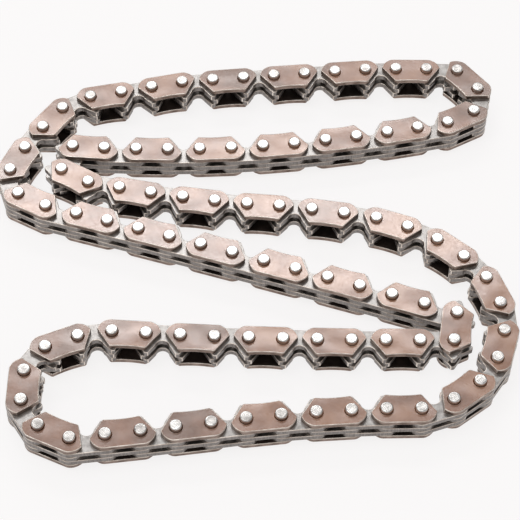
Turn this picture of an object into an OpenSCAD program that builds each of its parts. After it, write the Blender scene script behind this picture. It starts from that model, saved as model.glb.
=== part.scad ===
// Endless silent chain (inverted-tooth chain), laid on its side in a double fold.
// Guide links and inner links alternate. Teeth point to the inside of the loop.

/* [Chain] */
// Distance between neighbouring pins
pitch = 6.35; // [6:0.05:9.5]
// Gap between plates that follow each other in one layer
plate_gap = 0.6; // [0.4:0.05:1]

/* [Plates] */
// Thickness of a guide plate
guide_t = 0.95; // [0.6:0.05:1.5]
// Thickness of a toothed plate
tooth_t = 1.15; // [0.8:0.05:2]
// Side play between neighbouring plates
side_play = 0.05; // [0.02:0.01:0.15]
// How much lower the straight backs lie than the full round of the ends
back_flat = 0.08; // [0.05:0.01:0.6]
// Radius of the shoulders between the round ends and the back
shoulder_r = 2; // [1:0.05:2.2]
// How far the end corners lie behind the pin line
corner_rise = 0.55; // [0:0.05:1]
// Height of the guide plate toe ahead of the pin line
guide_toe_h = 3.2; // [2.8:0.05:3.4]
// Width of the guide plate toe
guide_toe_w = 7.2; // [6:0.1:7.6]
// Corner radius of the toes and the tooth tips
toe_r = 0.5; // [0.2:0.05:0.8]
// Depth of the hollow along the guide plate toe
toe_hollow = 0.2; // [0.1:0.05:0.6]
// Depth of the countersinks around the guide plate bores
bore_sink = 0.15; // [0.05:0.05:0.3]

/* [Teeth] */
// Height of the tooth tips ahead of the pin line
tooth_h = 3.65; // [3.2:0.05:3.8]
// Distance between the outer corners of the two tooth tips
tip_w = 6.9; // [6.2:0.1:7.5]
// Width of the crotch between the tooth tips
crotch_w = 5.1; // [4:0.1:5.6]
// Distance of the crotch arch ahead of the pin line
crotch_top = 0.75; // [0.6:0.05:1.2]
// Radius of the crotch arch
crotch_r = 1.3; // [0.8:0.05:1.5]
// Where the crotch flanks leave the arch, in degrees above its middle
crotch_turn = 10; // [0:1:30]

/* [Pins] */
// Diameter of the pins
pin_d = 2.3; // [1.8:0.05:2.8]
// Height of a pin end over its guide plate
pin_proud = 0.85; // [0.3:0.05:1.2]
// Rounding of the pin ends
pin_rim = 0.25; // [0.1:0.05:0.5]
// Radial running clearance of the inner links on the pins
run_clear = 0.05; // [0.02:0.01:0.1]
// Radial allowance of the pins in the guide links
press_clear = 0.01; // [0.005:0.005:0.02]

/* [Hidden] */
$fn = 48;
bronze = [0.55, 0.45, 0.40];
steel = [0.50, 0.50, 0.52];
bright = [0.80, 0.80, 0.82];

// Heights of the five plate layers, from the surface that the pin ends stand on
layer_step = tooth_t + side_play;
low_guide_z = pin_proud;
low_inner_z = low_guide_z + guide_t + side_play;
middle_z = low_inner_z + layer_step;
high_inner_z = middle_z + layer_step;
high_guide_z = high_inner_z + layer_step;
pin_l = high_guide_z + guide_t + pin_proud;

// Radius of the plate ends about their pins, height of the backs, and where flanks and shoulders leave the ends
end_r = (pitch - plate_gap) / 2;
corner_turn = asin(corner_rise / end_r);
back_h = end_r - back_flat;
shoulder_x = sqrt(pow(end_r - shoulder_r, 2) - pow(back_h - shoulder_r, 2));
shoulder = [pitch / 2 + shoulder_x, back_h - shoulder_r];
shoulder_turn = atan2(back_h - shoulder_r, shoulder_x);

// The lay of the loop: runs of links, each with the heading in degrees that it turns to evenly
first_heading = 13;
lay = [
    // top row and the end turn on the right
    [2, 14], [1, 7], [5, 6], [3, -2], [3, -150], [1, -166],
    // second row and the tight back bend on the left
    [4, -171], [7, -183], [2, -30], [1, -12],
    // third row and the wide outer turn on the right
    [5, -4], [3, -10], [2, -28], [2, -51], [7, -178],
    // bottom row and the end turn on the left
    [5, -171], [4, -172], [1, -204], [4, -336], [2, -363],
    // fifth row and the tight back bend on the right
    [8, -359], [1, -358], [2, -198],
    // fourth row and the outer turn on the left
    [12, -196], [1, -208], [2, -293], [2, -306]
];

// Headings of all links that the runs set, one after the other
function run_headings(run, from) = [for (i = [1:run[0]]) from + (run[1] - from) * i / run[0]];
headings = [
    first_heading,
    for (r = 0, from = first_heading; r < len(lay); from = lay[r][1], r = r + 1)
        each run_headings(lay[r], from)
];

// Pins along those headings, one pitch apart; the last pin closes the loop on the first
function step(heading) = pitch * [cos(heading), sin(heading)];
open_pins = [
    for (k = 0, p = [0, 0]; k < len(headings); p = p + step(headings[k]), k = k + 1) p
];
function closing_pin(a, b) =
    let (half = (b - a) / 2, rise = sqrt(pitch * pitch - half * half))
    a + half + rise * [-half[1], half[0]] / norm(half);
loose_pins = concat(open_pins, [closing_pin(open_pins[len(open_pins) - 1], open_pins[0])]);

// The same pins about the middle of the lay
pin_xs = [for (p = loose_pins) p[0]];
pin_ys = [for (p = loose_pins) p[1]];
lay_middle = [min(pin_xs) + max(pin_xs), min(pin_ys) + max(pin_ys)] / 2;
pins = [for (p = loose_pins) p - lay_middle];
pin_count = len(pins);

// Guide links whose following inner link hinges by itself; the others move as a pair
guide_count = pin_count / 2;
free_guides = [7, 8, 14, 15, 22, 23, 24, 30, 31, 38, 45, 46, 47];
function is_free(k) = len(search(k, free_guides)) > 0;
function numbered(name, k) = str(name, k < 10 ? "0" : "", k);
function link_names(k) = is_free(k)
    ? [numbered("guide_link_", k), numbered("inner_link_", k)]
    : [numbered("link_pair_", k)];

// Stands its children on the link from one pin to the next, teeth to the right of the travel
module on_link(first) {
    a = pins[first % pin_count];
    b = pins[(first + 1) % pin_count];
    translate((a + b) / 2) rotate(atan2(b[1] - a[1], b[0] - a[0])) children();
}

// Places its children at both pins of a link
module at_pins() {
    for (side = [-1, 1]) translate([side * pitch / 2, 0]) children();
}

// Points along an arc, and a list of points seen in a mirror on the plate's middle line
function arc(centre, r, from, to, n) = [
    for (i = [0:n]) let (a = from + (to - from) * i / n) centre + r * [cos(a), sin(a)]
];
function mirrored(points) = [for (i = [len(points) - 1:-1:0]) [-points[i][0], points[i][1]]];

// Right half of a plate's outline: rounded toe corner, straight flank, round end, softer shoulder
function half_outline(toe_w, toe_h) =
    let (
        toe = [toe_w / 2 - toe_r, toe_r - toe_h],
        corner = [pitch / 2 + end_r * cos(corner_turn), end_r * sin(corner_turn)] - toe,
        flank_turn = atan2(corner[1], corner[0]) - acos(toe_r / norm(corner))
    )
    concat(
        arc(toe, toe_r, -90, flank_turn, 4),
        arc([pitch / 2, 0], end_r, corner_turn, shoulder_turn, 4),
        arc(shoulder, shoulder_r, shoulder_turn, 90, 5)
    );

// A link plate: both halves of the outline, closed along the toe by the given points, and two bores
module plate(thick, half, toe_line, bore_r) {
    linear_extrude(thick) difference() {
        polygon(concat(half, mirrored(half), toe_line));
        at_pins() circle(bore_r);
    }
}

// Guide plate, outer face up: no teeth, a shallow hollow along its toe, countersunk bores
module guide_plate() {
    half = half_outline(guide_toe_w, guide_toe_h);
    hollow_r = (half[0][0] * half[0][0] + toe_hollow * toe_hollow) / (2 * toe_hollow);
    hollow_turn = asin(half[0][0] / hollow_r);
    hollow = arc([0, toe_hollow - guide_toe_h - hollow_r], hollow_r, 90 + hollow_turn, 90 - hollow_turn, 8);
    bore_r = pin_d / 2 + press_clear;
    difference() {
        plate(guide_t, half, [for (i = [1:7]) hollow[i]], bore_r);
        at_pins() translate([0, 0, guide_t - bore_sink])
            cylinder(h = 2 * bore_sink, r1 = bore_r, r2 = bore_r + 2 * bore_sink);
    }
}

// Toothed plate: two pointed teeth, with a deep crotch that opens from a round arch to the tips
module toothed_plate(bore_r) {
    arch = [0, -crotch_top - crotch_r];
    tip = [crotch_w / 2, -tooth_h];
    crotch = concat(
        mirrored([tip]), arc(arch, crotch_r, 180 - crotch_turn, crotch_turn, 10), [tip]
    );
    plate(tooth_t, half_outline(tip_w, tooth_h), crotch, bore_r);
}

// Pin with rounded ends, standing proud of both guide plates
module pin() {
    pin_r = pin_d / 2;
    rotate_extrude() {
        square([pin_r - pin_rim, pin_l]);
        translate([0, pin_rim]) square([pin_r, pin_l - 2 * pin_rim]);
        for (z = [pin_rim, pin_l - pin_rim])
            translate([pin_r - pin_rim, z]) intersection() {
                circle(pin_rim);
                translate([0, -pin_rim]) square([pin_rim, 2 * pin_rim]);
            }
    }
}

// Guide link: two guide plates and a middle toothed plate, riveted on two pins
module guide_link(k) {
    on_link(2 * k - 2) {
        color(bronze) translate([0, 0, high_guide_z]) guide_plate();
        color(bronze) translate([0, 0, low_guide_z + guide_t]) mirror([0, 0, 1]) guide_plate();
        color(steel) translate([0, 0, middle_z]) toothed_plate(pin_d / 2 + press_clear);
        color(bright) at_pins() pin();
    }
}

// Inner link: two toothed plates that turn on the pins of the guide links beside it
module inner_link(k) {
    on_link(2 * k - 1)
        color(steel) for (z = [low_inner_z, high_inner_z])
            translate([0, 0, z]) toothed_plate(pin_d / 2 + run_clear);
}

// A guide link and the inner link that follows it, held in line
module link_pair(k) {
    guide_link(k);
    inner_link(k);
}

for (k = [1:guide_count]) {
    if (is_free(k)) {
        guide_link(k);
        inner_link(k);
    } else {
        link_pair(k);
    }
}
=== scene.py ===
import bpy
import math
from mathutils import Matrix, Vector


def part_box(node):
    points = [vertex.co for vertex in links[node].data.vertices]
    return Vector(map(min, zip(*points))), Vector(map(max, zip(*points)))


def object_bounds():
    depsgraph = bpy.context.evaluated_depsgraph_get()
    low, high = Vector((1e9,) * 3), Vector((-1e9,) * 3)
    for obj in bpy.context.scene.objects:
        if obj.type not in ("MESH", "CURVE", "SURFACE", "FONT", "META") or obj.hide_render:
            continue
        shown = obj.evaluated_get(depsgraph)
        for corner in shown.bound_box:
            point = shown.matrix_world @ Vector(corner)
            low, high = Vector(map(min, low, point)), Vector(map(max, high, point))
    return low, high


# The chain as it was packed: guide links, inner links and link pairs, each a stack of plates on pins.
# Its box is kept here, before anything is dressed.
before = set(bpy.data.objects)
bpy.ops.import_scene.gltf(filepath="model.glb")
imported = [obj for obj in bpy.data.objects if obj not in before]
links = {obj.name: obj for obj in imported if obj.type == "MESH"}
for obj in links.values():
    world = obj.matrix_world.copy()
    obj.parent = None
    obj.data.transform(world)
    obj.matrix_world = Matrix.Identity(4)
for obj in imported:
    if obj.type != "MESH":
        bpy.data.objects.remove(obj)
cad_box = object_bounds()

# Guide plates: the outer plates, stamped from spring steel and tempered to a pinkish bronze-brown.
# The oxide skin of the temper is glossy and uneven in colour.
# They are tumbled after stamping, so their faces are finely pitted and not quite flat.
side_play = 0.00005
inner_low, inner_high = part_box("inner_link_07")
guide_low_top = inner_low.z - side_play / 2
guide_high_bottom = inner_high.z + side_play / 2


# A new steel: its material, its node tree, its surface, and the place of each point on the link
def bare_steel(name, metallic):
    steel = bpy.data.materials.new(name)
    steel.use_nodes = True
    tree = steel.node_tree
    surface = tree.nodes["Principled BSDF"]
    surface.inputs["Metallic"].default_value = metallic
    place = tree.nodes.new("ShaderNodeTexCoord")
    return steel, tree, surface, place.outputs["Object"]


# Uneven patches over the steel; a larger scale gives finer ones
def mottling(tree, place, scale, detail):
    noise = tree.nodes.new("ShaderNodeTexNoise")
    noise.inputs["Scale"].default_value = scale
    noise.inputs["Detail"].default_value = detail
    tree.links.new(place, noise.inputs["Vector"])
    return noise.outputs["Fac"]


# Colours the steel by its patches, from a dark tone to a light one
def tint(tree, surface, patches, dark_at, dark, light_at, light):
    tones = tree.nodes.new("ShaderNodeValToRGB")
    tones.color_ramp.elements[0].position = dark_at
    tones.color_ramp.elements[0].color = (*dark, 1)
    tones.color_ramp.elements[1].position = light_at
    tones.color_ramp.elements[1].color = (*light, 1)
    tree.links.new(patches, tones.inputs["Fac"])
    tree.links.new(tones.outputs["Color"], surface.inputs["Base Color"])
    return tones.color_ramp


# Makes the steel bright or dull by its patches, between two roughnesses
def gloss(tree, surface, patches, bright, dull, bright_at=0, dull_at=1):
    spread = tree.nodes.new("ShaderNodeMapRange")
    spread.inputs["From Min"].default_value = bright_at
    spread.inputs["From Max"].default_value = dull_at
    spread.inputs["To Min"].default_value = bright
    spread.inputs["To Max"].default_value = dull
    tree.links.new(patches, spread.inputs["Value"])
    tree.links.new(spread.outputs["Result"], surface.inputs["Roughness"])


# Raises the patches out of the steel by a depth in metres
def unevenness(tree, patches, strength, depth):
    bump = tree.nodes.new("ShaderNodeBump")
    bump.inputs["Strength"].default_value = strength
    bump.inputs["Distance"].default_value = depth
    tree.links.new(patches, bump.inputs["Height"])
    return bump


guide_steel, tree, surface, place = bare_steel("guide_steel", metallic=0.1)
surface.inputs["IOR"].default_value = 1.9
surface.inputs["Specular IOR Level"].default_value = 1

# The temper's tint changes within a plate, and with the heat of the oven from link to link.
cloud_share = 0.5
heat_share = 0.5
temper_cloud = mottling(tree, place, scale=170, detail=5)
oven_heat = mottling(tree, place, scale=55, detail=1)
cloud_part = tree.nodes.new("ShaderNodeMath")
cloud_part.operation = "MULTIPLY"
cloud_part.inputs[1].default_value = cloud_share
heat_mix = tree.nodes.new("ShaderNodeMath")
heat_mix.operation = "MULTIPLY_ADD"
heat_mix.inputs[1].default_value = heat_share
tree.links.new(temper_cloud, cloud_part.inputs[0])
tree.links.new(oven_heat, heat_mix.inputs[0])
tree.links.new(cloud_part.outputs["Value"], heat_mix.inputs[2])
temper = tint(
    tree, surface, heat_mix.outputs["Value"],
    dark_at=0.40, dark=(0.178, 0.069, 0.029), light_at=0.60, light=(0.352, 0.152, 0.068),
)
temper_middle = temper.elements.new(0.50)
temper_middle.color = (0.265, 0.103, 0.044, 1)

# Stamping leaves slow waves in the faces, and tumbling leaves fine pits on them.
stamped_waves = mottling(tree, place, scale=150, detail=1)
stamped_bump = unevenness(tree, stamped_waves, strength=1, depth=0.00018)
tumble_pits = mottling(tree, place, scale=2600, detail=3)
gloss(tree, surface, tumble_pits, bright=0.19, dull=0.27, bright_at=0.3, dull_at=0.7)
tumble_bump = unevenness(tree, tumble_pits, strength=0.10, depth=0.00005)
tree.links.new(stamped_bump.outputs["Normal"], tumble_bump.inputs["Normal"])
tree.links.new(tumble_bump.outputs["Normal"], surface.inputs["Normal"])

# The sides of the guide plates are sheared and keep a darker, uneven tint.
guide_side, tree, surface, place = bare_steel("guide_side", metallic=0.9)
surface.inputs["Roughness"].default_value = 0.32
side_cloud = mottling(tree, place, scale=600, detail=2)
tint(
    tree, surface, side_cloud,
    dark_at=0.35, dark=(0.14, 0.095, 0.075), light_at=0.65, light=(0.30, 0.225, 0.190),
)

# The faces that the guide plates turn to the toothed plates are painted dark, as painted shade for the
# hollow between the plates, in uneven patches.
guide_inner_painted_shade, tree, surface, place = bare_steel("guide_inner_painted_shade", metallic=0.5)
surface.inputs["Roughness"].default_value = 0.4
inner_shade_patches = mottling(tree, place, scale=350, detail=3)
tint(
    tree, surface, inner_shade_patches,
    dark_at=0.35, dark=(0.030, 0.022, 0.019), light_at=0.70, light=(0.085, 0.060, 0.050),
)

# Toothed plates: the inner and middle plates, stamped from spring steel with ground, bright faces.
# Their sheared edges are darker and keep fine lines across the plate's thickness.
tooth_face, tree, surface, place = bare_steel("tooth_face", metallic=0.95)
ground_cloud = mottling(tree, place, scale=900, detail=3)
tint(
    tree, surface, ground_cloud,
    dark_at=0.3, dark=(0.30, 0.283, 0.27), light_at=0.7, light=(0.50, 0.48, 0.465),
)
gloss(tree, surface, ground_cloud, bright=0.24, dull=0.38)

tooth_steel, tree, surface, place = bare_steel("tooth_steel", metallic=0.9)
shear_stretch = tree.nodes.new("ShaderNodeMapping")
shear_stretch.inputs["Scale"].default_value = (1, 1, 0.12)
tree.links.new(place, shear_stretch.inputs["Vector"])
shear_lines = mottling(tree, shear_stretch.outputs["Vector"], scale=4200, detail=3)
tint(
    tree, surface, shear_lines,
    dark_at=0.3, dark=(0.165, 0.145, 0.135), light_at=0.7, light=(0.31, 0.285, 0.27),
)
gloss(tree, surface, shear_lines, bright=0.26, dull=0.48)

# Pins: hardened steel, riveted into the guide links, with bright ends that stand proud of the plates.
# The rivet tool leaves their flat ends uneven and marked.
pin_proud = 0.00085
plates_bottom = pin_proud - side_play / 2
plates_top = cad_box[1].z - plates_bottom

pin_steel, tree, surface, place = bare_steel("pin_steel", metallic=1)
rivet_marks = mottling(tree, place, scale=420, detail=2)
tint(
    tree, surface, rivet_marks,
    dark_at=0.35, dark=(0.52, 0.495, 0.475), light_at=0.58, light=(0.80, 0.78, 0.755),
)
gloss(tree, surface, rivet_marks, bright=0.18, dull=0.30)
rivet_bump = unevenness(tree, rivet_marks, strength=0.45, depth=0.0001)
tree.links.new(rivet_bump.outputs["Normal"], surface.inputs["Normal"])

# Plate edges: tumbling rounds the corners of all plates and wears them; their pale colour is partly this
# wear and partly a painted highlight.
# Each link's faces take their finish by the layer that they lie in, and the rounded corners the pale edge
# colour.
edge_round = 0.00013
edge_steps = 2
sharp_corner = math.radians(50)
flat_joint = math.radians(1)
seam_reach = 0.000002
flat_lean = 0.5

# The pale edge colour is partly wear and partly a painted highlight for the light that the rounded edges
# catch.
worn_edge_and_highlight, tree, surface, place = bare_steel("worn_edge_and_highlight", metallic=0.95)
surface.inputs["Roughness"].default_value = 0.3
wear_and_highlight_patches = mottling(tree, place, scale=500, detail=2)
tint(
    tree, surface, wear_and_highlight_patches,
    dark_at=0.35, dark=(0.52, 0.440, 0.380), light_at=0.65, light=(0.85, 0.765, 0.690),
)

finishes = (guide_steel, guide_side, guide_inner_painted_shade, tooth_face, tooth_steel, pin_steel, worn_edge_and_highlight)
guide, side, shaded_inner, ground, sheared, riveted, worn_and_highlight = range(len(finishes))

for name, link in links.items():
    mesh = link.data
    mesh.materials.clear()
    for finish in finishes:
        mesh.materials.append(finish)
    for face in mesh.polygons:
        heights = [mesh.vertices[v].co.z for v in face.vertices]
        on_low_guide = max(heights) < guide_low_top
        on_guide = on_low_guide or min(heights) > guide_high_bottom
        outward = -face.normal.z if on_low_guide else face.normal.z
        if max(heights) > plates_top or min(heights) < plates_bottom:
            face.material_index = riveted
        elif on_guide and outward > flat_lean:
            face.material_index = guide
        # The inner faces of the guide plates take the dark painted shade.
        elif on_guide and outward < -flat_lean:
            face.material_index = shaded_inner
        elif on_guide:
            face.material_index = side
        elif abs(outward) > flat_lean:
            face.material_index = ground
        else:
            face.material_index = sheared
    seams = link.modifiers.new("weld", "WELD")
    seams.merge_threshold = seam_reach
    flats = link.modifiers.new("flats", "DECIMATE")
    flats.decimate_type = "DISSOLVE"
    flats.angle_limit = flat_joint
    flats.delimit = {"MATERIAL"}
    rounding = link.modifiers.new("rounding", "BEVEL")
    rounding.width = edge_round
    rounding.segments = edge_steps
    rounding.limit_method = "ANGLE"
    rounding.angle_limit = sharp_corner
    rounding.use_clamp_overlap = False
    rounding.harden_normals = True
    # The rounded corners take the pale edge colour: wear and painted highlight.
    rounding.material = worn_and_highlight

# The table: a pale matt sheet under the chain, wide enough to fill the view.
# It keeps the soft shadow that the chain throws.
sheet_reach = 2
sheet_glow = 0.84
sheet_corners = [(x * sheet_reach, y * sheet_reach, 0) for x, y in ((-1, -1), (1, -1), (1, 1), (-1, 1))]
sheet_mesh = bpy.data.meshes.new("table_sheet")
sheet_mesh.from_pydata(sheet_corners, [], [(0, 1, 2, 3)])
table_sheet = bpy.data.objects.new("table_sheet", sheet_mesh)
bpy.context.scene.collection.objects.link(table_sheet)

pale_sheet = bpy.data.materials.new("pale_sheet")
pale_sheet.use_nodes = True
tree = pale_sheet.node_tree
surface = tree.nodes["Principled BSDF"]
surface.inputs["Base Color"].default_value = (0.94, 0.905, 0.915, 1)
surface.inputs["Roughness"].default_value = 0.9
surface.inputs["Specular IOR Level"].default_value = 0.1
glow = tree.nodes.new("ShaderNodeEmission")
glow.inputs["Color"].default_value = (1, 0.99, 0.987, 1)
glow.inputs["Strength"].default_value = 1
ray = tree.nodes.new("ShaderNodeLightPath")
seen = tree.nodes.new("ShaderNodeMath")
seen.operation = "MAXIMUM"
seen_clear = tree.nodes.new("ShaderNodeMath")
seen_clear.operation = "MAXIMUM"
seen_share = tree.nodes.new("ShaderNodeMath")
seen_share.operation = "MULTIPLY"
seen_share.inputs[1].default_value = sheet_glow
sheet_mix = tree.nodes.new("ShaderNodeMixShader")
tree.links.new(ray.outputs["Is Camera Ray"], seen.inputs[0])
tree.links.new(ray.outputs["Is Glossy Ray"], seen.inputs[1])
tree.links.new(seen.outputs["Value"], seen_clear.inputs[0])
tree.links.new(ray.outputs["Is Transmission Ray"], seen_clear.inputs[1])
tree.links.new(seen_clear.outputs["Value"], seen_share.inputs[0])
tree.links.new(seen_share.outputs["Value"], sheet_mix.inputs["Fac"])
tree.links.new(surface.outputs["BSDF"], sheet_mix.inputs[1])
tree.links.new(glow.outputs["Emission"], sheet_mix.inputs[2])
tree.links.new(sheet_mix.outputs["Shader"], tree.nodes["Material Output"].inputs["Surface"])
sheet_mesh.materials.append(pale_sheet)

# The room: brightest behind the table and some way above it, and dimmer on all other sides.
# A strip light hangs behind the table, and a wide lamp overhead gives the soft shadows.
bright_way = (-0.15, 0.80, 0.58)
room = bpy.data.worlds.new("room")
room.use_nodes = True
tree = room.node_tree
room_light = tree.nodes["Background"]
room_light.inputs["Strength"].default_value = 1
toward = tree.nodes.new("ShaderNodeTexCoord")
facing = tree.nodes.new("ShaderNodeVectorMath")
facing.operation = "DOT_PRODUCT"
facing.inputs[1].default_value = bright_way
room_tone = tree.nodes.new("ShaderNodeValToRGB")
room_tone.color_ramp.elements[0].position = 0.1
room_tone.color_ramp.elements[0].color = (0.46, 0.453, 0.449, 1)
room_tone.color_ramp.elements[1].position = 0.96
room_tone.color_ramp.elements[1].color = (1.00, 0.985, 0.975, 1)
room_middle = room_tone.color_ramp.elements.new(0.90)
room_middle.color = (0.33, 0.325, 0.322, 1)
tree.links.new(toward.outputs["Generated"], facing.inputs[0])
tree.links.new(facing.outputs["Value"], room_tone.inputs["Fac"])
tree.links.new(room_tone.outputs["Color"], room_light.inputs["Color"])
bpy.context.scene.world = room


# A lamp with a rectangular face: sizes and place in metres, power in watts, turn in degrees
def panel_lamp(name, width, depth, power, place, turn):
    panel = bpy.data.lights.new(name, "AREA")
    panel.shape = "RECTANGLE"
    panel.size = width
    panel.size_y = depth
    panel.energy = power
    lamp = bpy.data.objects.new(name, panel)
    lamp.location = place
    lamp.rotation_euler = [math.radians(angle) for angle in turn]
    bpy.context.scene.collection.objects.link(lamp)


panel_lamp("strip", width=0.40, depth=0.055, power=0.45, place=(-0.06, 0.370, 0.472), turn=(-38.1, 0, 0))
panel_lamp("overhead", width=0.6, depth=0.36, power=1.6, place=(-0.15, 0, 0.7), turn=(0, -12, 0))

# The camera: in front of the chain and above it, looking down along +Y, almost level with the rows.
# Its place is set so that the rows lie in the square frame as they do in the photograph.
camera_place = (-0.00044, -0.22095, 0.2891)
camera_turn = (37.3725, -0.8733, 0.4921)
camera_data = bpy.data.cameras.new("camera")
camera_data.lens = 128.95
camera_data.sensor_width = 36
camera_data.clip_start = 0.01
camera = bpy.data.objects.new("camera", camera_data)
camera.location = camera_place
camera.rotation_euler = [math.radians(angle) for angle in camera_turn]
bpy.context.scene.collection.objects.link(camera)
bpy.context.scene.camera = camera
bpy.context.scene.view_settings.view_transform = "Standard"
